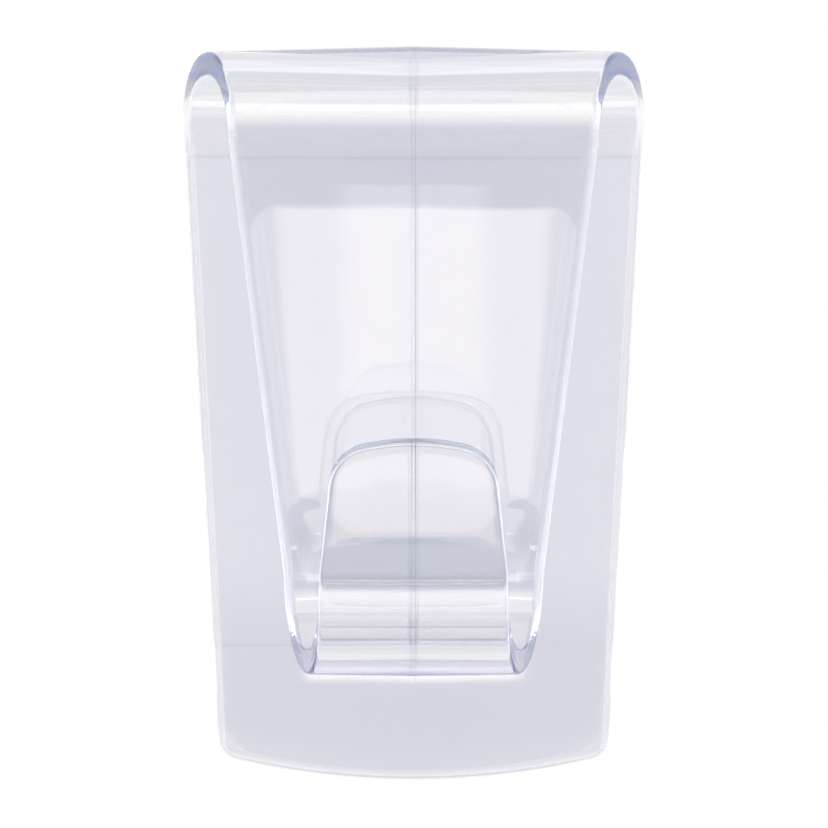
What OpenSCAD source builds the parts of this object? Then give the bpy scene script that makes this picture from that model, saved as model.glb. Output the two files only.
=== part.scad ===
// Clear adhesive wall hook: one folded plastic moulding on a stretch-release adhesive strip.
// Millimetres, +Z up, wall on the +Y side. The origin is the middle of the adhesive's wall face.
// Depths are measured from the wall towards the room, along -Y.

/* [Moulding] */
// Thickness of the clear plastic
sheet_t = 1.9; // [1.5:0.1:2.4]
// Height from the crest of the top fold to the lower edge of the back plate
hook_h = 53.8; // [50:0.1:64]
// Clear gap between the back plate and the tongue, bridged by the top fold
fold_gap = 7.9; // [6:0.1:10]
// Height from the crest of the top fold to the underside of the bottom fold
hook_drop = 43.4; // [38:0.1:48]
// Clear width of the seat between the tongue and the lip, bridged by the bottom fold
seat_gap = 9.2; // [7:0.1:12]
// Height from the underside of the bottom fold to the top of the lip
lip_h = 17.8; // [14:0.1:22]

/* [Widths] */
// Width of the back plate where the top fold begins
plate_top_w = 33; // [31:0.1:38]
// Width of the back plate at its lower edge
plate_low_w = 28.2; // [26:0.1:30.5]
// Width of the tongue where it leaves the top fold
tongue_top_w = 25.7; // [22:0.1:29]
// Width of the tongue where it enters the bottom fold
tongue_low_w = 18.1; // [15:0.1:21]
// Width of the lip where it leaves the bottom fold
lip_low_w = 13.2; // [11.5:0.1:15]
// Width of the lip at its top, before its corners are rounded
lip_top_w = 11.1; // [9.5:0.1:11.4]

/* [Rounded ends] */
// Radius of the bowed lower edge of the back plate
plate_bow_r = 55; // [40:1:90]
// Radius of the back plate's lower corners
plate_corner_r = 2; // [1:0.1:4]
// Radius of the lip's arched top
lip_arch_r = 16; // [12:0.5:24]
// Radius of the lip's upper corners
lip_corner_r = 3; // [1.5:0.1:3.8]

/* [Adhesive strip] */
// Height from the crest of the top fold down to the upper edge of the strip
strip_drop = 8.5; // [7:0.1:12]
// Margin left between the strip and the edges of the back plate
strip_inset = 0.8; // [0.4:0.1:1.5]
// Thickness of each adhesive layer
adhesive_t = 0.2; // [0.15:0.01:0.3]
// Thickness of the stretchy film
film_t = 0.5; // [0.3:0.05:0.8]
// Height of the bare tab at the strip's lower end
tab_h = 9.2; // [7:0.1:12]
// Radius of the tab's lower corners
tab_corner_r = 3; // [1.5:0.1:5]
// Thickness of each non-stick film on the tab
cover_t = 0.1; // [0.05:0.01:0.13]

/* [Hidden] */
$fn = 96;

// How far a cutting shape runs past what it cuts
overrun = 1;
// Steps in each arc of an outline
arc_steps = 12;

// Bends: outer radius of each
fold_r = fold_gap / 2 + sheet_t;
seat_r = seat_gap / 2 + sheet_t;

// Heights, from the middle of the adhesive
adhesive_h = hook_h - strip_drop - tab_h - strip_inset;
strip_top_z = adhesive_h / 2;
tab_top_z = -adhesive_h / 2;
crest_z = strip_top_z + strip_drop;
fold_z = crest_z - fold_r;
plate_low_z = crest_z - hook_h;
seat_z = crest_z - hook_drop + seat_r;
lip_top_z = crest_z - hook_drop + lip_h;

// Depths, from the wall
film_d = adhesive_t;
hook_adhesive_d = film_d + film_t;
plate_d = hook_adhesive_d + adhesive_t;
tongue_d = plate_d + sheet_t + fold_gap;
lip_d = tongue_d + sheet_t + seat_gap;

clear_plastic = [0.86, 0.88, 0.94, 0.45];
clear_adhesive = [0.90, 0.92, 0.95, 0.40];
clear_film = [0.88, 0.90, 0.95, 0.50];

// Width of the back plate at a height
function plate_w(z) =
    plate_low_w + (plate_top_w - plate_low_w) * (z - plate_low_z) / (fold_z - plate_low_z);

// Width of the strip at a height
function strip_w(z) = plate_w(z) - 2 * strip_inset;

// A slab that stands up facing the room, its rear face at a depth from the wall
module upright(depth, thickness) {
    translate([0, -depth, 0])
        rotate([90, 0, 0])
            linear_extrude(thickness)
                children();
}

// An outline with straight tapered sides, from a width at one height to a width at another
module tapered_outline(start_w, end_w, start_z, end_z) {
    polygon([[-start_w / 2, start_z], [start_w / 2, start_z], [end_w / 2, end_z], [-end_w / 2, end_z]]);
}

// Points along an arc, from one direction to another
function arc(centre, r, from, to) =
    [for (i = [0 : arc_steps])
        let (turn = from + (to - from) * i / arc_steps)
            centre + r * [cos(turn), sin(turn)]];

// A tapered outline that grows upwards from height 0 and ends in an arch with rounded corners.
// Each corner's circle touches the straight side and, from inside, the arch.
module arched_outline(start_w, end_w, length, arch_r, corner_r) {
    side_lean = atan2((start_w - end_w) / 2, length);
    arch_y = length - arch_r;
    corner_reach = start_w / 2 * cos(side_lean) - corner_r - arch_y * sin(side_lean);
    corner_turn = asin(corner_reach / (arch_r - corner_r)) - side_lean;
    corner = [(arch_r - corner_r) * sin(corner_turn), arch_y + (arch_r - corner_r) * cos(corner_turn)];
    right_corner = arc(corner, corner_r, side_lean, 90 - corner_turn);
    arch = arc([0, arch_y], arch_r, 90 - corner_turn, 90 + corner_turn);
    left_corner = arc([-corner.x, corner.y], corner_r, 90 + corner_turn, 180 - side_lean);
    polygon(concat([[-start_w / 2, 0], [start_w / 2, 0]], right_corner,
                   [for (i = [1 : arc_steps - 1]) arch[i]], left_corner));
}

// Half a ring seen from the side, the upper half of a bend in the sheet
module half_ring(outer_r) {
    difference() {
        intersection() {
            circle(outer_r);
            translate([-outer_r, 0])
                square([2 * outer_r, outer_r]);
        }
        circle(outer_r - sheet_t);
    }
}

// The folded sheet seen from the side, depth across and height up: plate, top fold, tongue,
// bottom fold and lip
module side_profile() {
    translate([plate_d, plate_low_z - overrun])
        square([sheet_t, fold_z - plate_low_z + overrun]);
    translate([plate_d + fold_r, fold_z])
        half_ring(fold_r);
    translate([tongue_d, seat_z])
        square([sheet_t, fold_z - seat_z]);
    translate([tongue_d + seat_r, seat_z])
        mirror([0, 1])
            half_ring(seat_r);
    translate([lip_d, seat_z])
        square([sheet_t, lip_top_z - seat_z + overrun]);
}

// The folded sheet, square-edged and as wide as the back plate all along
module folded_sheet() {
    translate([-plate_top_w / 2 - overrun, 0, 0])
        rotate([90, 0, 90])
            linear_extrude(plate_top_w + 2 * overrun)
                mirror([1, 0])
                    side_profile();
}

// Room for a fold, seen from above: as wide as the rear sheet, then tapering across the gap to the
// width of the front sheet
module fold_room(rear_d, gap, rear_w, front_w) {
    rear_face = -rear_d - sheet_t;
    front_face = rear_face - gap;
    polygon([[-rear_w / 2, -rear_d + overrun], [rear_w / 2, -rear_d + overrun],
             [rear_w / 2, rear_face], [front_w / 2, front_face],
             [front_w / 2, front_face - sheet_t - overrun],
             [-front_w / 2, front_face - sheet_t - overrun],
             [-front_w / 2, front_face], [-rear_w / 2, rear_face]]);
}

// Room for the back plate, bowed along its lower edge and running on up through the top fold
module plate_room() {
    upright(plate_d, sheet_t)
        union() {
            translate([0, fold_z])
                mirror([0, 1])
                    arched_outline(plate_top_w, plate_low_w, fold_z - plate_low_z,
                                   plate_bow_r, plate_corner_r);
            translate([-plate_top_w / 2, fold_z])
                square([plate_top_w, fold_r + overrun]);
        }
}

// Room for the narrowing tongue, running on through both folds
module tongue_room() {
    upright(tongue_d, sheet_t)
        union() {
            translate([-tongue_top_w / 2, fold_z])
                square([tongue_top_w, fold_r + overrun]);
            tapered_outline(tongue_low_w, tongue_top_w, seat_z, fold_z);
            translate([-tongue_low_w / 2, seat_z - seat_r - overrun])
                square([tongue_low_w, seat_r + overrun]);
        }
}

// Room for the lip with its arched top, running on down through the bottom fold
module lip_room() {
    upright(lip_d, sheet_t)
        union() {
            translate([0, seat_z])
                arched_outline(lip_low_w, lip_top_w, lip_top_z - seat_z, lip_arch_r, lip_corner_r);
            translate([-lip_low_w / 2, seat_z - seat_r - overrun])
                square([lip_low_w, seat_r + overrun]);
        }
}

// The whole hook, moulded in one piece: a folded sheet trimmed to its outline
module hook_moulding() {
    color(clear_plastic)
        intersection() {
            folded_sheet();
            union() {
                plate_room();
                translate([0, 0, fold_z])
                    linear_extrude(fold_r + overrun)
                        fold_room(plate_d, fold_gap, plate_top_w, tongue_top_w);
                tongue_room();
                translate([0, 0, seat_z])
                    mirror([0, 0, 1])
                        linear_extrude(seat_r + overrun)
                            fold_room(tongue_d, seat_gap, tongue_low_w, lip_low_w);
                lip_room();
            }
        }
}

// The stuck part of one layer of the strip
module strip_layer(depth, thickness) {
    upright(depth, thickness)
        tapered_outline(strip_w(tab_top_z), strip_w(strip_top_z), tab_top_z, strip_top_z);
}

// One layer of the bare tab below the stuck part
module tab_layer(depth, thickness) {
    upright(depth, thickness)
        translate([0, tab_top_z])
            mirror([0, 1])
                arched_outline(strip_w(tab_top_z), strip_w(tab_top_z - tab_h), tab_h,
                               plate_bow_r - strip_inset, tab_corner_r);
}

// Clear adhesive between the plate and the film
module hook_adhesive() {
    color(clear_adhesive)
        strip_layer(hook_adhesive_d, adhesive_t);
}

// Stretchy core of the strip
module stretch_film() {
    color(clear_film)
        strip_layer(film_d, film_t);
}

// Clear adhesive between the film and the wall
module wall_adhesive() {
    color(clear_adhesive)
        strip_layer(0, adhesive_t);
}

// Bare end of the film, pulled straight down to let go of the wall
module pull_tab() {
    color(clear_film)
        tab_layer(film_d, film_t);
}

// Non-stick film on the plate side of the tab
module tab_front_cover() {
    color(clear_film)
        tab_layer(hook_adhesive_d, cover_t);
}

// Non-stick film on the wall side of the tab
module tab_rear_cover() {
    color(clear_film)
        tab_layer(film_d - cover_t, cover_t);
}

hook_moulding();
hook_adhesive();
stretch_film();
wall_adhesive();
pull_tab();
tab_front_cover();
tab_rear_cover();
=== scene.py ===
# %% [markdown]
# A clear adhesive wall hook
# The hook is one clear plastic moulding, stuck to a wall by a clear strip that lets go when its tab is
# pulled.
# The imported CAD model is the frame: it says where every piece sits, and the looks are built around it.

# %% Load the frame
import math

import bpy
import numpy as np
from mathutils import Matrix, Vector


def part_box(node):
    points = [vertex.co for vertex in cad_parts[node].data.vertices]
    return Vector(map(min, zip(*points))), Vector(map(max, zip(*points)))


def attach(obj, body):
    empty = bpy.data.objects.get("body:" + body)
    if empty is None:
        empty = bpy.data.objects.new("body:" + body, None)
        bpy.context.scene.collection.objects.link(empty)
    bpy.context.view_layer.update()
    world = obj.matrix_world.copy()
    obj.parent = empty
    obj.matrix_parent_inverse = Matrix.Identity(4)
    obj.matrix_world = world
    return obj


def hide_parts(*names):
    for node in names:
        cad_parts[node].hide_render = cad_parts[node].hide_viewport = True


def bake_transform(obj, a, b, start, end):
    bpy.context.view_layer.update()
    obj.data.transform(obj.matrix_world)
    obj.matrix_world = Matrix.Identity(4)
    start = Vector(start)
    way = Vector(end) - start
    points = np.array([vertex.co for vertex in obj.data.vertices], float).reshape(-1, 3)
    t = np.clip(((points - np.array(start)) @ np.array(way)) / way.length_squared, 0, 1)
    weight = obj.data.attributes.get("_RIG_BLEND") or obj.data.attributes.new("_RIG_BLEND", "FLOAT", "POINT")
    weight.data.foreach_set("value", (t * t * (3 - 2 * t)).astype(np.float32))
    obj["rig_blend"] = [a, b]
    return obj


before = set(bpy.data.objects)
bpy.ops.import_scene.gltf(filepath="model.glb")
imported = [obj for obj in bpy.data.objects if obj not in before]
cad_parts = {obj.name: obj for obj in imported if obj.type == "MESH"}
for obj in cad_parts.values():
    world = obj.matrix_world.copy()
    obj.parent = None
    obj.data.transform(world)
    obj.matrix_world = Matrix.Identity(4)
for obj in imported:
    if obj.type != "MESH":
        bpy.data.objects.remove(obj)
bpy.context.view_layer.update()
MM = 0.001
moulding_low, moulding_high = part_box("hook_moulding")
film_low, film_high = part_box("stretch_film")
tab_low, tab_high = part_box("pull_tab")

# %% [markdown]
# The camera stands in front of the hook and a little above it, with a long lens, so the edges stay nearly
# parallel. The lens length follows from the distance and from how many millimetres the picture is wide at
# the hook.

# %% Camera
CAMERA_DISTANCE = 700 * MM
CAMERA_ELEVATION = math.radians(8.6)
PICTURE_WIDTH = 58.66 * MM
SENSOR_WIDTH = 36.0
CAMERA_AIM = np.array([0.03, -8.0, 0.11]) * MM


def make_camera():
    """A camera at a distance and an elevation from its aim, looking along +Y and down."""
    data = bpy.data.cameras.new("camera")
    data.sensor_width = SENSOR_WIDTH
    data.lens = SENSOR_WIDTH * CAMERA_DISTANCE / PICTURE_WIDTH
    data.clip_start, data.clip_end = 0.01, 20.0
    camera = bpy.data.objects.new("camera", data)
    bpy.context.scene.collection.objects.link(camera)
    back = np.array([0.0, -math.cos(CAMERA_ELEVATION), math.sin(CAMERA_ELEVATION)])
    camera.location = CAMERA_AIM + CAMERA_DISTANCE * back
    camera.rotation_euler = (math.pi / 2 - CAMERA_ELEVATION, 0.0, 0.0)
    bpy.context.scene.camera = camera
    return camera


camera = make_camera()
print("lens", round(camera.data.lens, 1), "mm")

# %% [markdown]
# The moulding is a flat blank of plastic, folded over at the top and up again at the bottom. Box modelling
# could bend it, but a formula keeps the sheet evenly thick through both folds. So the blank is described by
# two numbers, across and along, and a third for the height above the middle of the sheet. First comes the
# line that the middle of the sheet follows, seen from the side.

# %% The folded line of the sheet
SHEET, SOLID_SHEET = 1.86 * MM, 1.9 * MM
CREST_DRAFT = 0.32 * MM
FOLD_GAP = 7.9 * MM
SEAT_GAP = 9.2 * MM
HOOK_DROP = 43.05 * MM
LIP_HEIGHT = 17.45 * MM
TONGUE_RISE, SEAT_RISE, LIP_RISE = 4.9 * MM, 5.5 * MM, 7.1 * MM
RISE_POWER = 4

crest_z = moulding_high.z - CREST_DRAFT
plate_depth = -moulding_high.y + SHEET / 2
fold_radius = (FOLD_GAP + SOLID_SHEET) / 2
seat_radius = (SEAT_GAP + SOLID_SHEET) / 2
plate_low_z = moulding_low.z
fold_z = crest_z - fold_radius - SHEET / 2
seat_low_z = moulding_high.z - HOOK_DROP
tongue_low_z = seat_low_z + SHEET / 2 + TONGUE_RISE
lip_low_z = seat_low_z + SHEET / 2 + LIP_RISE
lip_top_z = seat_low_z + LIP_HEIGHT

plate_run = fold_z - plate_low_z
tongue_run = fold_z - tongue_low_z
lip_run = lip_top_z - lip_low_z
RUNS = np.array([plate_run, math.pi * fold_radius, tongue_run, math.pi * seat_radius, lip_run])
STOPS = np.concatenate([[0.0], np.cumsum(RUNS)])


def folded_line(along):
    """Depth, height and the unit normal of the sheet's middle line at a distance along it.
    Straight up the plate, half a circle over the top, straight down the tongue, half an oval under the
    seat and straight up the lip. The oval's rise changes from its lowest point to each side with the fourth
    power of the turn, so the two sides have their own rise and share a round bottom. The normal is the
    direction turned a quarter to the left, so it starts towards the wall."""
    along = np.asarray(along, float)
    top_turn = np.clip((along - STOPS[1]) / fold_radius, 0.0, math.pi)
    low_turn = np.clip((along - STOPS[3]) / seat_radius, 0.0, math.pi)
    up_plate = np.minimum(along, STOPS[1])
    down_tongue = np.clip(along - STOPS[2], 0.0, tongue_run)
    up_lip = np.maximum(along - STOPS[4], 0.0)
    aside = low_turn / (math.pi / 2) - 1
    more = np.where(aside < 0, TONGUE_RISE, LIP_RISE) - SEAT_RISE
    rise = SEAT_RISE + more * aside ** RISE_POWER
    growth = more * RISE_POWER * aside ** (RISE_POWER - 1) / (math.pi / 2)
    level = rise * np.cos(low_turn) - growth * (1 - np.sin(low_turn))
    under = np.where(along > STOPS[3], TONGUE_RISE - rise * (1 - np.sin(low_turn)), 0.0)
    depth = plate_depth + fold_radius * (1 - np.cos(top_turn)) + seat_radius * (1 - np.cos(low_turn))
    height = plate_low_z + up_plate + fold_radius * np.sin(top_turn) - down_tongue - under + up_lip
    steep = np.hypot(level, seat_radius * np.sin(low_turn))
    before = along < STOPS[3]
    normal_depth = np.where(before, -np.cos(top_turn), level / steep)
    normal_height = np.where(before, np.sin(top_turn), seat_radius * np.sin(low_turn) / steep)
    return depth, height, normal_depth, normal_height


print("blank length", round(STOPS[-1] / MM, 1), "mm")

# %% [markdown]
# Next comes the blank's outline: how wide the sheet is along its length. The plate widens upwards, the
# folds narrow it from one sheet to the next, and the tongue and the lip go on narrowing. Both ends are
# gentle arcs that meet the sides in rounded corners.

# %% Half width of the blank
PLATE_LOW, PLATE_TOP = 14.1 * MM, 16.5 * MM
TONGUE_TOP, TONGUE_LOW = 13.1 * MM, 9.25 * MM
LIP_LOW, LIP_TOP = 6.6 * MM, 5.55 * MM


def half_width(along):
    """Half the sheet's width at a distance along it: straight tapers on the flat runs, and in each fold
    a share of the change that grows with the depth reached, so the fold's ends lean in a straight line."""
    along = np.asarray(along, float)
    top_share = (1 - np.cos(np.clip((along - STOPS[1]) / fold_radius, 0.0, math.pi))) / 2
    low_share = (1 - np.cos(np.clip((along - STOPS[3]) / seat_radius, 0.0, math.pi))) / 2
    wide = np.interp(along, [0.0, STOPS[1]], [PLATE_LOW, PLATE_TOP])
    wide = wide + top_share * (TONGUE_TOP - PLATE_TOP)
    wide = wide + np.interp(along, [STOPS[2], STOPS[3]], [0.0, TONGUE_LOW - TONGUE_TOP])
    wide = wide + low_share * (LIP_LOW - TONGUE_LOW)
    return wide + np.interp(along, [STOPS[4], STOPS[5]], [0.0, LIP_TOP - LIP_LOW])


def arched_end(start_half, end_half, length, arch_radius, corner_radius, steps=160):
    """The right half of an arched end, from its straight side to the middle of the arch.
    The corner's circle touches the leaning side and, from inside, the arch's circle. Gives points and
    outward normals in two columns, across and away from the start."""
    lean = math.atan2(start_half - end_half, length)
    arch_y = length - arch_radius
    reach = start_half * math.cos(lean) - corner_radius - arch_y * math.sin(lean)
    turn = math.asin(reach / (arch_radius - corner_radius)) - lean
    centre = (arch_radius - corner_radius) * np.array([math.sin(turn), math.cos(turn)]) + [0.0, arch_y]
    corner_angle = np.linspace(lean, math.pi / 2 - turn, steps)
    arch_angle = np.linspace(math.pi / 2 - turn, math.pi / 2, steps)[1:]
    corner_way = np.stack([np.cos(corner_angle), np.sin(corner_angle)], 1)
    arch_way = np.stack([np.cos(arch_angle), np.sin(arch_angle)], 1)
    points = np.concatenate([centre + corner_radius * corner_way, [0.0, arch_y] + arch_radius * arch_way])
    return points, np.concatenate([corner_way, arch_way]), steps // 2


print("half widths", np.round(half_width(STOPS) / MM, 2))

# %% [markdown]
# The right half of the outline is kept as one dense line with its inward normals, measured by its own
# length. The corners of the grids lie in the middle of the rounded corners.

# %% Right half of the outline
PLATE_BOW, PLATE_CORNER = 55 * MM, 2 * MM
LIP_ARCH, LIP_CORNER = 16 * MM, 3 * MM
SIDE_POINTS = 1200

low_points, low_ways, low_mid = arched_end(PLATE_TOP, PLATE_LOW, plate_run, PLATE_BOW, PLATE_CORNER)
top_points, top_ways, top_mid = arched_end(LIP_LOW, LIP_TOP, lip_run, LIP_ARCH, LIP_CORNER)
low_points = np.stack([low_points[:, 0], plate_run - low_points[:, 1]], 1)[::-1]
low_ways = (low_ways * [1, -1])[::-1]
top_points = top_points + [0.0, STOPS[4]]
side_along = np.linspace(low_points[-1, 1], top_points[0, 1], SIDE_POINTS)[1:-1]
side_slope = np.gradient(half_width(side_along), side_along)
side_ways = np.stack([np.ones_like(side_slope), -side_slope], 1)
side_ways /= np.linalg.norm(side_ways, axis=1, keepdims=True)
outline = np.concatenate([low_points, np.stack([half_width(side_along), side_along], 1), top_points])
inward = -np.concatenate([low_ways, side_ways, top_ways])
outline_run = np.concatenate([[0.0], np.cumsum(np.linalg.norm(np.diff(outline, axis=0), axis=1))])
low_corner = outline_run[len(low_points) - 1 - low_mid]
top_corner = outline_run[len(outline) - len(top_points) + top_mid]


def on_outline(run):
    """Points and inward normals of the outline at distances along it, read off the dense line."""
    point = np.stack([np.interp(run, outline_run, outline[:, c]) for c in (0, 1)], -1)
    way = np.stack([np.interp(run, outline_run, inward[:, c]) for c in (0, 1)], -1)
    return point, way / np.linalg.norm(way, axis=-1, keepdims=True)


print("outline", round(outline_run[-1] / MM, 1), "mm")

# %% [markdown]
# The faces will be grids, so the places of their rows and columns come next.
# The columns crowd together at the parting line and at the edges, and the rows where the sheet bends.

# %% Columns and rows of the grids
MIDDLE_COLUMNS = np.array([0.0, 0.03, 0.06, 0.09, 0.12, 0.15, 0.19, 0.24, 0.28, 0.32, 0.36, 0.40, 0.48,
                           0.65]) * MM
EDGE_COLUMNS = np.array([1.2, 0.9, 0.6, 0.35, 0.15, 0.05, 0.0]) * MM
EVEN_COLUMNS = 15
CORNER_ROWS = np.array([0.0, 0.05, 0.15, 0.4, 0.8]) * MM
PART_ROWS = (26, 46, 30, 46, 18)


def columns(reach):
    """Distances from the middle to the edge of a row: a few fine steps at the parting line, even steps
    between, and fine steps at the edge."""
    reach = np.asarray(reach, float)[..., None]
    start = MIDDLE_COLUMNS[-1]
    even = np.linspace(0.0, 1.0, EVEN_COLUMNS + 1)[1:-1]
    span = start + (reach - EDGE_COLUMNS[0] - start) * even
    middle = np.broadcast_to(MIDDLE_COLUMNS, reach.shape[:-1] + MIDDLE_COLUMNS.shape)
    return np.concatenate([middle, span, reach - EDGE_COLUMNS], -1)


def side_runs():
    """Distances along the outline where the rows of the grids meet the side: fine steps in the corners,
    about four degrees a step in the folds."""
    side = slice(len(low_points), -len(top_points))
    folds = np.interp(STOPS[1:5], outline[side, 1], outline_run[side])
    stops = [low_corner + CORNER_ROWS[-1], *folds, top_corner - CORNER_ROWS[-1]]
    runs = [np.linspace(a, b, n + 1)[1:] for a, b, n in zip(stops, stops[1:], PART_ROWS)]
    return np.concatenate([low_corner + CORNER_ROWS, *runs, (top_corner - CORNER_ROWS)[::-1][1:]])


row_runs = side_runs()
print("rows", len(row_runs), "half columns", len(columns(low_corner)))

# %% [markdown]
# The sheet isn't quite even: each half thins a little from the parting line to the edges, so the mould lets
# go of it, the parting line itself stands up as a hair-fine ridge, and the faces ease down in a soft
# shoulder beside each edge. Those three together decide where a reflected window ends, so they are shaped
# here and not painted.

# %% Height of the faces above the middle of the sheet
PLATE_DRAFT, DRAFT = 0.036, 0.0122
BAND_HEIGHT, BAND_HALF, BAND_EDGE = 0.0012 * MM, 0.32 * MM, 0.16 * MM
RIDGE_HEIGHT, RIDGE_PLACE, RIDGE_REACH = 0.003 * MM, 0.09 * MM, 0.04 * MM
SHOULDER_REACH = np.array([1.3, 2.3, 1.7]) * MM
SHOULDER_DROP = np.array([0.02, 0.03, 0.016]) * MM
SHOULDER_LIMIT = 1.2


def eased(value):
    """A smooth step from 0 to 1, with level ends: three squares less two cubes."""
    value = np.clip(value, 0.0, 1.0)
    return value * value * (3 - 2 * value)


def along_parts(along, plate, tongue, lip):
    """One value on the plate, one on the tongue and one on the lip, eased from one to the next in the
    folds."""
    first = eased((along - STOPS[1]) / RUNS[1])
    second = eased((along - STOPS[3]) / RUNS[3])
    return plate + (tongue - plate) * first + (lip - tongue) * second


def parting(across):
    """Height of the parting line: a low flat band with eased edges, and a bell curve just beside its
    middle."""
    band = eased((BAND_HALF + BAND_EDGE / 2 - np.abs(across)) / BAND_EDGE)
    return BAND_HEIGHT * band + RIDGE_HEIGHT * np.exp(-((across - RIDGE_PLACE) / RIDGE_REACH) ** 2)


def face_height(across, along, side):
    """Height of a face above the sheet's middle. Half the sheet, plus the draft times the distance from
    the part's mean edge, plus the parting line, less the shoulder, which grows with the square of how far
    a point has come into the edge zone. The wall side of the plate stays flat, and takes its shape in the
    first third of the top fold."""
    shoulder_reach = along_parts(along, *SHOULDER_REACH)
    shoulder_drop = along_parts(along, *SHOULDER_DROP)
    inside = half_width(along) - np.abs(across)
    from_low = PLATE_BOW - np.hypot(across, along - PLATE_BOW)
    from_top = LIP_ARCH - np.hypot(across, along - (STOPS[5] - LIP_ARCH))
    zones = (inside, from_low, from_top)
    drop = sum(np.clip(1 - zone / shoulder_reach, 0.0, SHOULDER_LIMIT) ** 2 for zone in zones)
    draft = along_parts(along, PLATE_DRAFT, DRAFT, DRAFT)
    mean_edge = along_parts(along, PLATE_LOW + PLATE_TOP, TONGUE_LOW + TONGUE_TOP, LIP_LOW + LIP_TOP) / 2
    moulded = draft * (mean_edge - np.abs(across)) + parting(across)
    share = eased((along - STOPS[1]) / (RUNS[1] / 3)) if side > 0 else 1.0
    return SHEET / 2 + share * (moulded - shoulder_drop * drop)


tongue_middle = (STOPS[2] + STOPS[3]) / 2
tongue_mm = 2 * float(face_height(0.0, tongue_middle, 1)) / MM
print("sheet", round(tongue_mm, 2), "mm thick in the middle of the tongue")

# %% [markdown]
# A face of the moulding is a grid of rows across the blank. The rows bend to follow the arched ends.
# The edge between the two faces leans back so the mould can open, and its corners are rounded, so each face
# stops a little short of the outline.

# %% Faces of the blank
EDGE_RADIUS = 0.22 * MM
PLATE_LEAN, TONGUE_LEAN, LIP_LEAN = 0.26, 0.34, 0.05
LOW_BEND_REACH, TOP_BEND_REACH = 10 * MM, 6 * MM


def edge_inset(height, along):
    """How far the leaning edge is drawn in at a height: nothing on the wall side, more towards the room."""
    normal_depth = folded_line(along)[2]
    return along_parts(along, PLATE_LEAN, TONGUE_LEAN, LIP_LEAN) * (normal_depth * height + SHEET / 2)


def face_border(run, side):
    """Points of a face's border: the outline moved inwards by the edge's radius and its lean."""
    point, way = on_outline(run)
    height = side * face_height(point[..., 0], point[..., 1], side)
    inset = EDGE_RADIUS + edge_inset(height, point[..., 1])
    return point + inset[..., None] * way


def face_grid(side):
    """Across and along of a face's points. Each row runs straight between the two sides; near the ends the
    bend of the arched border is added, fading out over a few millimetres."""
    low = face_border(columns(low_corner), side)
    top = face_border(outline_run[-1] - columns(outline_run[-1] - top_corner), side)
    right = face_border(row_runs, side)
    low_bend = low - np.stack([columns(right[0, 0]), np.full(len(low), right[0, 1])], 1)
    top_bend = top - np.stack([columns(right[-1, 0]), np.full(len(top), right[-1, 1])], 1)
    low_share = 1 - eased((row_runs - low_corner) / LOW_BEND_REACH)
    top_share = 1 - eased((top_corner - row_runs) / TOP_BEND_REACH)
    half = np.stack([columns(right[:, 0]), np.repeat(right[:, 1:], len(low), 1)], -1)
    half = half + low_share[:, None, None] * low_bend + top_share[:, None, None] * top_bend
    left = half[:, :0:-1] * [-1, 1]
    return np.concatenate([left, half], 1)


def fold_up(across, along, height):
    """Points in space: the middle line's place at that length, plus the height along its normal."""
    depth, rise, normal_depth, normal_rise = folded_line(along)
    return np.stack([across, -(depth + height * normal_depth), rise + height * normal_rise], -1)


wall_grid = face_grid(1)
room_grid = face_grid(-1)
ROWS, COLS = wall_grid.shape[:2]
print("grids", ROWS, "by", COLS)

# %% [markdown]
# The edge is a band of points round the whole outline: a quarter circle, a flat wall and a quarter circle.
# It has one row of points for each border point of the faces and shares those, so the moulding is one
# closed skin.

# %% Edge of the blank
EDGE_STEPS = 5
WALL_STEPS = 4


def edge_profile():
    """Draw-in and dip of the points of a quarter circle, and the flat wall's points as shares of the way
    from one quarter circle to the other."""
    turn = np.linspace(0.0, math.pi / 2, EDGE_STEPS + 1)[1:]
    draw, dip = EDGE_RADIUS * (1 - np.sin(turn)), EDGE_RADIUS * (1 - np.cos(turn))
    wall = np.linspace(0.0, 1.0, WALL_STEPS + 1)[1:-1]
    return draw, dip, wall


def border_index():
    """Row and column numbers of the grid points round the border: along the lower end, up the right side,
    back along the top and down the left side."""
    rows = np.concatenate([np.zeros(COLS - 1, int), np.arange(ROWS - 1), np.full(COLS - 1, ROWS - 1),
                           np.arange(ROWS - 1, 0, -1)])
    cols = np.concatenate([np.arange(COLS - 1), np.full(ROWS - 1, COLS - 1), np.arange(COLS - 1, 0, -1),
                           np.zeros(ROWS - 1, int)])
    return rows, cols


def border_runs():
    """Distance along the half outline, and left or right, for each border point in the same order."""
    low = columns(low_corner)
    top = outline_run[-1] - columns(outline_run[-1] - top_corner)
    runs = np.concatenate([low[:0:-1], low[:-1], row_runs[:-1], top[:0:-1], top[:-1], row_runs[:0:-1]])
    hand = np.concatenate([np.full(len(low) - 1, -1.0), np.ones(len(low) - 1), np.ones(ROWS - 1),
                           np.ones(len(top) - 1), np.full(len(top) - 1, -1.0), np.full(ROWS - 1, -1.0)])
    return runs, hand


def edge_band():
    """Across, along and height of the points of the edge, one row of points for each border point."""
    runs, hand = border_runs()
    point, way = on_outline(runs)
    wall_height = face_height(point[:, 0], point[:, 1], 1)
    room_height = face_height(point[:, 0], point[:, 1], -1)
    draw, dip, wall = edge_profile()
    upper = wall_height[:, None] - dip
    lower = -room_height[:, None] + dip[::-1]
    between = upper[:, -1:] + (lower[:, :1] - upper[:, -1:]) * wall
    height = np.concatenate([upper, between, lower], 1)
    drawn = np.concatenate([draw, np.zeros(len(wall)), draw[::-1]])
    inset = drawn + edge_inset(height, point[:, 1:])
    place = point[:, None] + inset[..., None] * way[:, None]
    return place[..., 0] * hand[:, None], place[..., 1], height


band_across, band_along, band_height = edge_band()
print("edge band", band_height.shape)

# %% [markdown]
# The mesh is put together from index grids: every quad is four numbers, and whole arrays of quads are
# joined.

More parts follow.
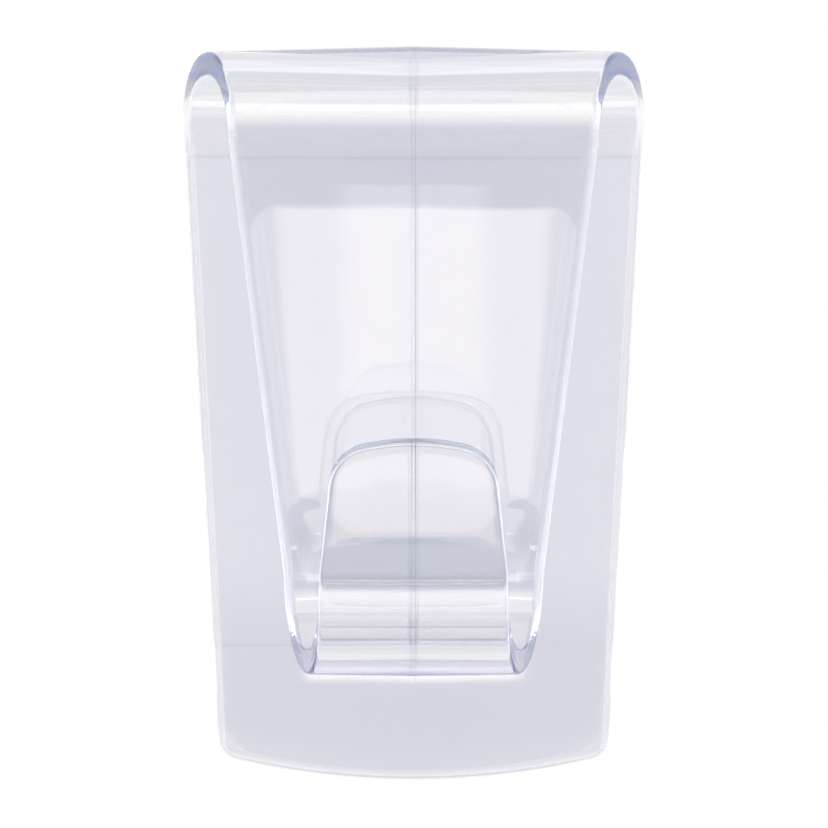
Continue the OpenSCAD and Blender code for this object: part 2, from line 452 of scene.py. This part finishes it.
# %% Mesh of the moulding
def grid_quads(numbers):
    """Quads between neighbouring rows and columns of a grid of point numbers."""
    corners = [numbers[:-1, :-1], numbers[:-1, 1:], numbers[1:, 1:], numbers[1:, :-1]]
    return np.stack(corners, -1).reshape(-1, 4)


def mesh_object(name, points, quads, smooth=True):
    """A mesh object at the origin from arrays of points and quads."""
    mesh = bpy.data.meshes.new(name)
    mesh.from_pydata(points.tolist(), [], quads.tolist())
    mesh.polygons.foreach_set("use_smooth", np.full(len(mesh.polygons), smooth))
    mesh.update()
    made = bpy.data.objects.new(name, mesh)
    bpy.context.scene.collection.objects.link(made)
    return made


def moulding_mesh():
    """The wall face, the room face and the edge band between them, with shared border points."""
    wall_points = fold_up(wall_grid[..., 0], wall_grid[..., 1],
                          face_height(wall_grid[..., 0], wall_grid[..., 1], 1))
    room_points = fold_up(room_grid[..., 0], room_grid[..., 1],
                          -face_height(room_grid[..., 0], room_grid[..., 1], -1))
    band_points = fold_up(band_across, band_along, band_height)
    count = ROWS * COLS
    wall_numbers = np.arange(count).reshape(ROWS, COLS)
    room_numbers = wall_numbers + count
    band_numbers = 2 * count + np.arange(band_height.size).reshape(band_height.shape)
    rows, cols = border_index()
    band = np.concatenate([wall_numbers[rows, cols][:, None], band_numbers,
                           room_numbers[rows, cols][:, None]], 1)
    band = np.concatenate([band, band[:1]])
    quads = np.concatenate([grid_quads(wall_numbers)[:, ::-1], grid_quads(room_numbers),
                            grid_quads(band)[:, ::-1]])
    points = np.concatenate([p.reshape(-1, 3) for p in (wall_points, room_points, band_points)])
    return points, quads


hook = mesh_object("hook_body", *moulding_mesh())
print("moulding", len(hook.data.vertices), "points", len(hook.data.polygons), "quads")

# %% [markdown]
# Two masks on the moulding's points say where the plastic will differ from the rest: the wall side of the
# plate is finely matt, and hair lines show where the two halves of the mould met.

# %% Masks on the moulding
MATT_END = 0.9 * MM
MATT_MARGIN, MATT_FADE = 0.1 * MM, 1.2 * MM
ROOT_START, ROOT_RISE = -1.2 * MM, 1.0 * MM
ROOT_END, ROOT_FALL = 0.8 * MM, 1.4 * MM
LINE_PLACE, LINE_REACH = 0.12 * MM, 0.06 * MM
LINE_START, LINE_END = 4 * MM, 6 * MM
LINE_PLACES = (STOPS[1], STOPS[1] + LINE_START, STOPS[2], STOPS[3], (STOPS[3] + STOPS[4]) / 2,
               STOPS[5] - LINE_END, STOPS[5])
LINE_SHARES = (0.0, 0.6, 0.25, 0.25, 0.8, 0.2, 1.0)


def wall_side_mask():
    """1 on the wall side of the plate, fading out just below the top fold and beside the plate's edges. The
    root of the fold has it on the room side, where the mould was hard to polish, so the mirrored light there
    blurs; the deep tint that the mask brings there is painted shade in the crease inside the fold. 0 on
    every other point."""
    count = ROWS * COLS
    across, along = wall_grid[..., 0].ravel(), wall_grid[..., 1].ravel()
    from_low = PLATE_BOW - np.hypot(across, along - PLATE_BOW)
    inside = np.minimum(half_width(along) - np.abs(across), from_low)
    root = room_grid[..., 1].ravel() - STOPS[1]
    mask = np.zeros(2 * count + band_height.size)
    mask[:count] = (1 - eased((along - STOPS[1]) / MATT_END + 1)) * eased((inside - MATT_MARGIN) / MATT_FADE)
    past_root = eased((root - ROOT_END) / ROOT_FALL)
    mask[count:2 * count] = eased((root - ROOT_START) / ROOT_RISE) * (1 - past_root)
    return mask


def parting_mask():
    """Two hair lines either side of the middle. They are strongest in the bottom fold and at the top of the
    lip, faint on the tongue, and missing on the plate."""
    across = np.concatenate([wall_grid[..., 0].ravel(), room_grid[..., 0].ravel(), band_across.ravel()])
    along = np.concatenate([wall_grid[..., 1].ravel(), room_grid[..., 1].ravel(), band_along.ravel()])
    line = eased(1 - np.abs(np.abs(across) - LINE_PLACE) / LINE_REACH)
    return line * np.interp(along, LINE_PLACES, LINE_SHARES)


for mask_name, mask in (("parting", parting_mask()), ("wall_side", wall_side_mask())):
    hook.data.attributes.new(mask_name, "FLOAT", "POINT").data.foreach_set("value", mask)
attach(hook, "hook")
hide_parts("hook_moulding")
print("masks", [a.name for a in hook.data.attributes if a.data_type == "FLOAT"])

# %% [markdown]
# Behind the plate sits the strip: a stretchy film with a thin coat of adhesive on each side. Its bare lower
# end is the tab, which is pulled straight down to take the hook off the wall. Each layer is a thin slab
# with softly rounded edges, made from half its outline: the edge profile is carried round the outline, and
# each row of the flat faces joins a point on the right to its mirror on the left.

# %% Outlines of the strip
STRIP_MARGIN = 0.8 * MM
STRIP_ROWS = 72
TAB_CORNER = 3 * MM
MIDDLE_GAP = 0.05 * MM
LAYER_EDGE_STEPS = 3
strip_top_z, tab_top_z, tab_low_z = film_high.z, film_low.z, tab_low.z
strip_top_half = film_high.x
tab_top_half = tab_high.x
strip_taper = (strip_top_half - tab_top_half) / (strip_top_z - tab_top_z)
tab_low_half = tab_top_half - strip_taper * (tab_top_z - tab_low_z)


def strip_outline():
    """Right half of the stuck part, from its top down: straight, narrowing sides. Points and outward
    normals."""
    share = np.linspace(0.0, 1.0, STRIP_ROWS + 1)[:, None]
    top, low = np.array([strip_top_half, strip_top_z]), np.array([tab_top_half, tab_top_z])
    points = top + (low - top) * share
    way = np.array([strip_top_z - tab_top_z, tab_top_half - strip_top_half])
    return points, np.broadcast_to(way / np.linalg.norm(way), points.shape)


def tab_outline(steps=14):
    """Right half of the tab, from the stuck part down: a short side, a rounded corner and the bowed end.
    The last point stops just short of the middle."""
    points, ways, _ = arched_end(tab_top_half, tab_low_half, tab_top_z - tab_low_z,
                                 PLATE_BOW - STRIP_MARGIN, TAB_CORNER, steps)
    points = np.concatenate([[[tab_top_half, 0.0]], points[:-1], [[MIDDLE_GAP, tab_top_z - tab_low_z]]])
    ways = np.concatenate([ways[:1], ways])
    return np.stack([points[:, 0], tab_top_z - points[:, 1]], 1), ways * [1, -1]


def layer_mesh(half, ways, near_depth, far_depth, radius, inset=0.0):
    """A slab between two depths from the wall. Its edge is half a circle flattened in the middle, carried
    round the outline; the faces are rows of quads from the right side to the left."""
    turn = np.linspace(0.0, math.pi / 2, LAYER_EDGE_STEPS + 1)
    draw, dip = radius * (1 - np.sin(turn)), radius * (1 - np.cos(turn))
    draw = np.concatenate([draw, draw[::-1]])
    depth = np.concatenate([near_depth + dip, far_depth - dip[::-1]])
    mirror = np.array([-1.0, 1.0])
    loop = np.concatenate([half, half[::-1] * mirror])
    outward = np.concatenate([ways, ways[::-1] * mirror])
    place = loop[:, None] - (inset + draw)[None, :, None] * outward[:, None]
    points = np.stack([place[..., 0], np.broadcast_to(-depth, place.shape[:2]), place[..., 1]], -1)
    numbers = np.arange(points.shape[0] * points.shape[1]).reshape(points.shape[:2])
    edge = grid_quads(np.concatenate([numbers, numbers[:1]]))
    count = len(half)
    right, left = numbers[:count], numbers[count:][::-1]
    near = grid_quads(np.stack([left[:, 0], right[:, 0]], 1))
    far = grid_quads(np.stack([right[:, -1], left[:, -1]], 1))
    return points.reshape(-1, 3), np.concatenate([edge, near, far])


strip_half, strip_ways = strip_outline()
tab_half, tab_ways = tab_outline()
stuck_mm, tab_mm = (strip_top_z - tab_top_z) / MM, (tab_top_z - tab_low_z) / MM
print("strip", round(stuck_mm, 1), "mm stuck, tab", round(tab_mm, 1), "mm")

# %% [markdown]
# The stuck layers stretch when the tab is pulled, so they are blended between the two bodies: the top stays
# on the hook and the lower end follows the tab. Film and tab are one strip of plastic, so one piece stands
# for both. The layers keep a hair's breadth apart, because two clear skins in the same place confuse the
# light.

# %% Layers of the strip
HAIR = 0.006 * MM
FILM_EDGE, COAT_EDGE, COAT_INSET = 0.12 * MM, 0.06 * MM, 0.12 * MM
film_near, film_far = -film_high.y, -film_low.y
coat_far = -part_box("hook_adhesive")[0].y


def stretching(piece, *nodes):
    """Blends a layer from the hook's body at the strip's top to the tab's body at its lower end."""
    middle = -(film_near + film_far) / 2
    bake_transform(piece, "hook", "tab", start=(0, middle, strip_top_z), end=(0, middle, tab_top_z))
    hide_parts(*nodes)
    return piece


film_half = np.concatenate([strip_half[:-1], tab_half])
film_ways = np.concatenate([strip_ways[:-1], tab_ways])
film_mesh = layer_mesh(film_half, film_ways, film_near, film_far, FILM_EDGE)
front_mesh = layer_mesh(strip_half, strip_ways, film_far + HAIR, coat_far - HAIR, COAT_EDGE, COAT_INSET)
rear_mesh = layer_mesh(strip_half, strip_ways, 0.0, film_near - HAIR, COAT_EDGE, COAT_INSET)
film = stretching(mesh_object("film_and_tab", *film_mesh), "stretch_film", "pull_tab")
front_coat = stretching(mesh_object("front_adhesive", *front_mesh), "hook_adhesive")
rear_coat = stretching(mesh_object("rear_adhesive", *rear_mesh), "wall_adhesive")
print("film", len(film.data.polygons), "quads, coats", len(front_coat.data.polygons), "each")

# %% [markdown]
# The tab isn't sticky: a thin film covers it on each side. The covers don't stretch, so they ride on the
# tab's body.

# %% Covers of the tab
COVER_EDGE, COVER_INSET = 0.03 * MM, 0.15 * MM
front_near, front_far = [-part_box("tab_front_cover")[c].y for c in (1, 0)]
rear_near, rear_far = [-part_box("tab_rear_cover")[c].y for c in (1, 0)]
front_mesh = layer_mesh(tab_half, tab_ways, front_near + HAIR, front_far, COVER_EDGE, COVER_INSET)
rear_mesh = layer_mesh(tab_half, tab_ways, rear_near, rear_far - HAIR, COVER_EDGE, COVER_INSET)
front_cover = mesh_object("front_cover", *front_mesh)
rear_cover = mesh_object("rear_cover", *rear_mesh)
for cover, node in ((front_cover, "tab_front_cover"), (rear_cover, "tab_rear_cover")):
    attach(cover, "tab")
    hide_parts(node)
print("covers", len(front_cover.data.polygons), "quads each")

# %% [markdown]
# All the pieces are clear. Moulded and drawn plastic is never dead flat, so a very shallow wave bends the
# reflections a little, and the polish varies. Both come from a node group, because every material uses it.

# %% Shallow wave of moulded and drawn plastic
def wave_group():
    """Height and mask from two noises on a point: a broad one for the wave, a fine one for the polish."""
    group = bpy.data.node_groups.new("shallow_wave", "ShaderNodeTree")
    for name, kind, way in (("Point", "NodeSocketVector", "INPUT"), ("Broad", "NodeSocketFloat", "INPUT"),
                            ("Fine", "NodeSocketFloat", "INPUT"), ("Height", "NodeSocketFloat", "OUTPUT"),
                            ("Mask", "NodeSocketFloat", "OUTPUT")):
        group.interface.new_socket(name, in_out=way, socket_type=kind)
    into, out = group.nodes.new("NodeGroupInput"), group.nodes.new("NodeGroupOutput")
    broad, fine = (group.nodes.new("ShaderNodeTexNoise") for _ in range(2))
    broad.inputs["Detail"].default_value = 1.0
    fine.inputs["Detail"].default_value = 3.0
    for noise, scale, result in ((broad, "Broad", "Height"), (fine, "Fine", "Mask")):
        group.links.new(into.outputs["Point"], noise.inputs["Vector"])
        group.links.new(into.outputs[scale], noise.inputs["Scale"])
        group.links.new(noise.outputs["Fac"], out.inputs[result])
    return group


wave = wave_group()
print("group", wave.name)

# %% [markdown]
# Every clear material is the same set of nodes with its own values. The film, its adhesive and the covers
# hardly bend the light, because on the real strip they touch each other with no air between.

# %% Clear materials
def linked(tree, kind, settings=(), **inputs):
    """A new node with some settings; each input is a plain value or the output that feeds it."""
    node = tree.nodes.new("ShaderNode" + kind)
    for name, value in dict(settings).items():
        setattr(node, name, value)
    for name, value in inputs.items():
        socket = node.inputs[name.replace("_", " ")]
        if isinstance(value, bpy.types.NodeSocket):
            tree.links.new(value, socket)
        else:
            socket.default_value = value
    return node


def clear_material(name, ior, colours, roughness, broad, fine, bump):
    """Clear plastic: light passes through and bends. The base colour runs between two close tints and the
    roughness between two close values by the fine noise, and the broad noise tilts the surface."""
    material = bpy.data.materials.new(name)
    material.use_nodes = True
    tree = material.node_tree
    shader = tree.nodes["Principled BSDF"]
    shader.inputs["Transmission Weight"].default_value = 1.0
    shader.inputs["IOR"].default_value = ior
    place = linked(tree, "TexCoord")
    grain = linked(tree, "Group", {"node_tree": wave}, Point=place.outputs["Object"], Broad=broad, Fine=fine)
    tint = linked(tree, "Mix", {"data_type": "RGBA"}, Factor=grain.outputs["Mask"])
    tint.inputs["A"].default_value, tint.inputs["B"].default_value = ((*c, 1.0) for c in colours)
    polish = linked(tree, "MapRange", (), Value=grain.outputs["Mask"], To_Min=roughness[0],
                    To_Max=roughness[1])
    tilt = linked(tree, "Bump", (), Strength=1.0, Distance=bump, Height=grain.outputs["Height"])
    tree.links.new(tint.outputs["Result"], shader.inputs["Base Color"])
    tree.links.new(polish.outputs["Result"], shader.inputs["Roughness"])
    tree.links.new(tilt.outputs["Normal"], shader.inputs["Normal"])
    return material


clear_film = clear_material(
    "clear_film", ior=1.06, colours=((0.924, 0.928, 0.94), (0.934, 0.938, 0.95)), roughness=(0.05, 0.15),
    broad=160.0, fine=1400.0, bump=0.004 * MM)
clear_adhesive = clear_material(
    "clear_adhesive", ior=1.05, colours=((0.976, 0.978, 0.982), (0.984, 0.986, 0.99)), roughness=(0.1, 0.25),
    broad=400.0, fine=2500.0, bump=0.004 * MM)
cover_film = clear_material(
    "cover_film", ior=1.05, colours=((0.994, 0.994, 0.996), (0.998, 0.998, 1.0)), roughness=(0.05, 0.12),
    broad=120.0, fine=700.0, bump=0.002 * MM)
print("strip materials", clear_film.name, clear_adhesive.name, cover_film.name)

# %% [markdown]
# The moulding's own plastic gets three things more. A volume swallows some light on the way through, so
# long ways through the folds' ends turn blue by themselves, which a painted tint can't do. The wall side of
# the plate is matt, so that the strip holds on it: its mask turns the polish and the tint down there. The
# tint is deeper towards the plate's lower edge, and steps deeper just above the strip's top. And the hair
# lines of the mould are grey.

# %% Clear plastic of the moulding
MATT_ROUGHNESS = 0.4
MATT_LOW = (0.710, 0.707, 0.793, 1.0)
MATT_TINT = (0.839, 0.823, 0.900, 1.0)
# The deepest tint, above the strip's top; where the mask lies on the room side at the root of the top fold,
# it is painted shade in the fold's crease.
UPPER_TINT_AND_CREASE_SHADE = (0.690, 0.677, 0.746, 1.0)
MATT_TINTS = (MATT_LOW, MATT_TINT, MATT_TINT, UPPER_TINT_AND_CREASE_SHADE)
MATT_HEIGHTS = (-22.0 * MM, -11.0 * MM, strip_top_z - 0.05 * MM, strip_top_z + 0.05 * MM)
LINE_TINT = (0.34, 0.38, 0.50, 1.0)
DEPTH_COLOUR, DEPTH_DENSITY = (0.50, 0.60, 0.82, 1.0), 46.0
clear_plastic = clear_material(
    "clear_plastic", ior=1.49, colours=((0.866, 0.870, 0.888), (0.876, 0.880, 0.898)), roughness=(0.0, 0.02),
    broad=90.0, fine=900.0, bump=0.004 * MM)
tree = clear_plastic.node_tree
shader = tree.nodes["Principled BSDF"]
matt = linked(tree, "Attribute", {"attribute_name": "wall_side"})
height = linked(tree, "SeparateXYZ", (), Vector=linked(tree, "TexCoord").outputs["Object"])
share = linked(tree, "MapRange", (), Value=height.outputs["Z"], From_Min=plate_low_z, From_Max=crest_z)
matt_tint = linked(tree, "ValToRGB", (), Fac=share.outputs["Result"])
stops = matt_tint.color_ramp.elements
for _ in range(len(MATT_HEIGHTS) - len(stops)):
    stops.new(0.5)
for stop, place, colour in zip(stops, MATT_HEIGHTS, MATT_TINTS):
    stop.position, stop.color = (place - plate_low_z) / (crest_z - plate_low_z), colour
# Where the mask lies on the room side at the root of the top fold, this tint is painted shade in the fold's
# crease.
tinted = linked(tree, "Mix", {"data_type": "RGBA"}, Factor=matt.outputs["Fac"])
tree.links.new(shader.inputs["Base Color"].links[0].from_socket, tinted.inputs["A"])
tree.links.new(matt_tint.outputs["Color"], tinted.inputs["B"])
lines = linked(tree, "Attribute", {"attribute_name": "parting"})
lined = linked(tree, "Mix", {"data_type": "RGBA"}, Factor=lines.outputs["Fac"])
tree.links.new(tinted.outputs["Result"], lined.inputs["A"])
lined.inputs["B"].default_value = LINE_TINT
polish = shader.inputs["Roughness"].links[0].from_socket
rough = linked(tree, "Mix", (), Factor=matt.outputs["Fac"], A=polish, B=MATT_ROUGHNESS)
tree.links.new(lined.outputs["Result"], shader.inputs["Base Color"])
tree.links.new(rough.outputs["Result"], shader.inputs["Roughness"])
depth = linked(tree, "VolumeAbsorption", (), Color=DEPTH_COLOUR, Density=DEPTH_DENSITY)
tree.links.new(depth.outputs["Volume"], tree.nodes["Material Output"].inputs["Volume"])
for piece, material in ((hook, clear_plastic), (film, clear_film), (front_coat, clear_adhesive),
                        (rear_coat, clear_adhesive), (front_cover, cover_film), (rear_cover, cover_film)):
    piece.data.materials.clear()
    piece.data.materials.append(material)
print("materials", [m.name for m in bpy.data.materials])

# %% [markdown]
# The hook hangs in front of plain white, so the world and the far floor are white to the camera and through
# the plastic.

# %% White surroundings and floor
FLOOR_Z, FLOOR_HALF = -1.2, 6.0
FLOOR_COLOUR = (0.86, 0.86, 0.86, 1.0)
ROOM_COLOUR, ROOM_STRENGTH = (0.9, 0.92, 0.95, 1.0), 0.9
CARD_POINTS = 3


def see_through_white(tree, shade, white, surface):
    """Mixes plain white light over a shader for camera, mirror and see-through rays."""
    path, mix = tree.nodes.new("ShaderNodeLightPath"), tree.nodes.new("ShaderNodeMixShader")
    first, second = (tree.nodes.new("ShaderNodeMath") for _ in range(2))
    first.operation = second.operation = "MAXIMUM"
    for output, socket in ((path.outputs["Is Camera Ray"], first.inputs[0]),
                           (path.outputs["Is Glossy Ray"], first.inputs[1]),
                           (first.outputs[0], second.inputs[0]),
                           (path.outputs["Is Transmission Ray"], second.inputs[1]),
                           (second.outputs[0], mix.inputs[0]), (shade, mix.inputs[1]), (white, mix.inputs[2]),
                           (mix.outputs[0], surface)):
        tree.links.new(output, socket)


world = bpy.data.worlds.new("white_room")
bpy.context.scene.world = world
world.use_nodes = True
tree = world.node_tree
dim = tree.nodes["Background"]
dim.inputs["Color"].default_value = ROOM_COLOUR
dim.inputs["Strength"].default_value = ROOM_STRENGTH
bright = tree.nodes.new("ShaderNodeBackground")
bright.inputs["Color"].default_value = (1.0, 1.0, 1.0, 1.0)
see_through_white(tree, dim.outputs[0], bright.outputs[0], tree.nodes["World Output"].inputs["Surface"])


def flat_card(name, corner, across, up):
    """A flat card from a corner and its two sides: every point is the corner plus shares of both sides.
    The shares are kept on the mesh, for cards that fade out towards their edges."""
    share = np.linspace(0.0, 1.0, CARD_POINTS)
    numbers = np.arange(CARD_POINTS ** 2).reshape(CARD_POINTS, CARD_POINTS)
    points = np.array(corner) + share[:, None, None] * np.array(up) + share[None, :, None] * np.array(across)
    made = mesh_object(name, points.reshape(-1, 3), grid_quads(numbers), smooth=False)
    place = np.stack([np.tile(share, CARD_POINTS), np.repeat(share, CARD_POINTS), np.zeros(numbers.size)], 1)
    made.data.attributes.new("card_share", "FLOAT_VECTOR", "POINT").data.foreach_set("vector", place.ravel())
    return made


floor = flat_card("floor", (-FLOOR_HALF, -FLOOR_HALF, FLOOR_Z), (2 * FLOOR_HALF, 0, 0),
                  (0, 2 * FLOOR_HALF, 0))
pale = bpy.data.materials.new("pale_floor")
pale.use_nodes = True
tree = pale.node_tree
matt_floor, white = tree.nodes["Principled BSDF"], tree.nodes.new("ShaderNodeEmission")
matt_floor.inputs["Base Color"].default_value = FLOOR_COLOUR
surface = tree.nodes["Material Output"].inputs["Surface"]
see_through_white(tree, matt_floor.outputs[0], white.outputs[0], surface)
floor.data.materials.append(pale)
print("floor at", FLOOR_Z, "m")

# %% [markdown]
# What shapes clear plastic is what it mirrors. Lights stand above and in front, straight ahead, on the
# floor, at both sides and behind the wall, and darker flags between them draw the grey bands in the folds.
# Only mirrored light sees these cards, so nothing of them shows straight through the plastic.

# %% A card that the plastic mirrors
WARM, PALE, PLAIN = (1.0, 0.91, 0.79), (1.0, 0.965, 0.935), (1.0, 1.0, 1.0)
MIRRORED_ONCE = 0.5


def mirror_card(name, corner, across, up, strength, colour=WARM, sides=0.1, low_fade=0.0, top_fade=0.0):
    """A card that shines evenly in its middle and fades out towards its edges, over a share of its width at
    both sides and of its height at its low and top edges. Only light that has been mirrored sees it."""
    made = flat_card(name, corner, across, up)
    made.visible_camera = made.visible_diffuse = made.visible_shadow = made.visible_volume_scatter = False
    material = bpy.data.materials.new(name)
    material.use_nodes = True
    tree = material.node_tree
    share = linked(tree, "Attribute", {"attribute_name": "card_share"})
    split = linked(tree, "SeparateXYZ", (), Vector=share.outputs["Vector"])
    path = linked(tree, "LightPath")
    seen = linked(tree, "Math", {"operation": "GREATER_THAN"})
    tree.links.new(path.outputs["Glossy Depth"], seen.inputs[0])
    seen.inputs[1].default_value = MIRRORED_ONCE
    shown = seen.outputs[0]
    for axis, dark, full in (("X", 0.0, sides), ("X", 1.0, 1.0 - sides),
                             ("Y", 0.0, low_fade), ("Y", 1.0, 1.0 - top_fade)):
        if dark == full:
            continue
        fade = linked(tree, "MapRange", {"interpolation_type": "SMOOTHSTEP"}, Value=split.outputs[axis],
                      From_Min=min(dark, full), From_Max=max(dark, full), To_Min=float(dark > full),
                      To_Max=float(dark < full))
        both = linked(tree, "Math", {"operation": "MULTIPLY"})
        tree.links.new(shown, both.inputs[0])
        tree.links.new(fade.outputs["Result"], both.inputs[1])
        shown = both.outputs[0]
    glow = linked(tree, "Emission", (), Color=(*colour, 1.0), Strength=strength)
    clear, mix = linked(tree, "BsdfTransparent"), linked(tree, "MixShader")
    for output, socket in ((shown, mix.inputs[0]), (clear.outputs[0], mix.inputs[1]),
                           (glow.outputs[0], mix.inputs[2]),
                           (mix.outputs[0], tree.nodes["Material Output"].inputs["Surface"])):
        tree.links.new(output, socket)
    made.data.materials.append(material)
    return made


def wide_card(name, half, low, top, strength, **look):
    """A card straight ahead of the hook, above, below or behind it: as wide as twice its half width, from a
    low to a top edge, each given as depth in front of the wall and height."""
    across, up = (2 * half, 0, 0), (0, low[0] - top[0], top[1] - low[1])
    return mirror_card(name, (-half, -low[0], low[1]), across, up, strength, **look)


print("card colours", WARM, PALE, PLAIN)

# %% [markdown]
# Each row of the table is a card: its name, its half width, its low and its top edge, how bright it is, and
# its fades or colour where they differ. An edge is its depth in front of the wall and its height, in
# metres.

# %% All cards
CARDS = (
    ("low_light", 0.0214, (0.2726, -0.047), (0.2726, -0.0185), 4.35, {"sides": 0.0725}),
    ("wide_light", 0.8, (0.96, 0.225), (0.43, 0.962), 4.6, {"low_fade": 0.4}),
    ("upper_light", 0.8, (0.43, 0.962), (-0.344, 1.0), 1.7, {}),
    ("rear_flag", 0.8, (-0.36, 0.314), (-0.36, 1.0), 0.87, {"colour": PLAIN}),
    ("rear_light", 0.8, (-0.36, 0.045), (-0.36, 0.314), 1.13, {"colour": PLAIN}),
    ("rear_strip", 0.8, (-0.36, -0.03), (-0.36, 0.045), 1.2, {"colour": PALE}),
    ("seat_light", 0.03, (-0.02, -0.026), (-0.02, -0.008), 1.6, {"colour": PALE}),
    ("rear_floor", 0.8, (-0.36, -0.69), (-0.36, -0.03), 1.1, {"colour": PALE}),
    ("low_flag", 0.5, (0.32, -0.0905), (0.32, -0.064), 0.05, {"top_fade": 0.4}),
    ("floor_light", 0.5, (0.32, -0.24), (0.32, -0.0905), 4.8, {"low_fade": 0.65, "top_fade": 0.08}),
    ("floor_flag", 0.5, (0.2, -0.19), (0.2, -0.1445), 0.1, {}),
    ("near_floor", 0.5, (0.182, -0.3), (0.302, -0.3), 4.4, {}),
    ("under_flag", 0.5, (0.03, -0.3), (0.178, -0.3), 0.4, {}),
    ("slit_light", 0.031, (0.2726, -0.0689), (0.2726, -0.0674), 10.0, {"sides": 0.03, "low_fade": 0.8}),
)
SIDE_X, SIDE_CORNER, SIDE_WIDTH, SIDE_HEIGHT, SIDE_STRENGTH = 0.4, (-0.45, -0.3), 0.75, 0.6, 2.6

for name, half, low, top, strength, look in CARDS:
    wide_card(name, half, low, top, strength, **look)
for name, hand in (("side_light_left", -1), ("side_light_right", 1)):
    mirror_card(name, (SIDE_X * hand, *SIDE_CORNER), (0, SIDE_WIDTH, 0), (0, 0, SIDE_HEIGHT), SIDE_STRENGTH,
                colour=PLAIN)

# %% [markdown]
# Light passes many clear skins on its way through the hook, so it is let through often before it is given
# up.

# %% Finish
bpy.context.scene.view_settings.view_transform = "Standard"
bounces = bpy.context.scene.cycles
bounces.max_bounces, bounces.glossy_bounces, bounces.transmission_bounces = 64, 48, 48
bounces.transparent_max_bounces = 24
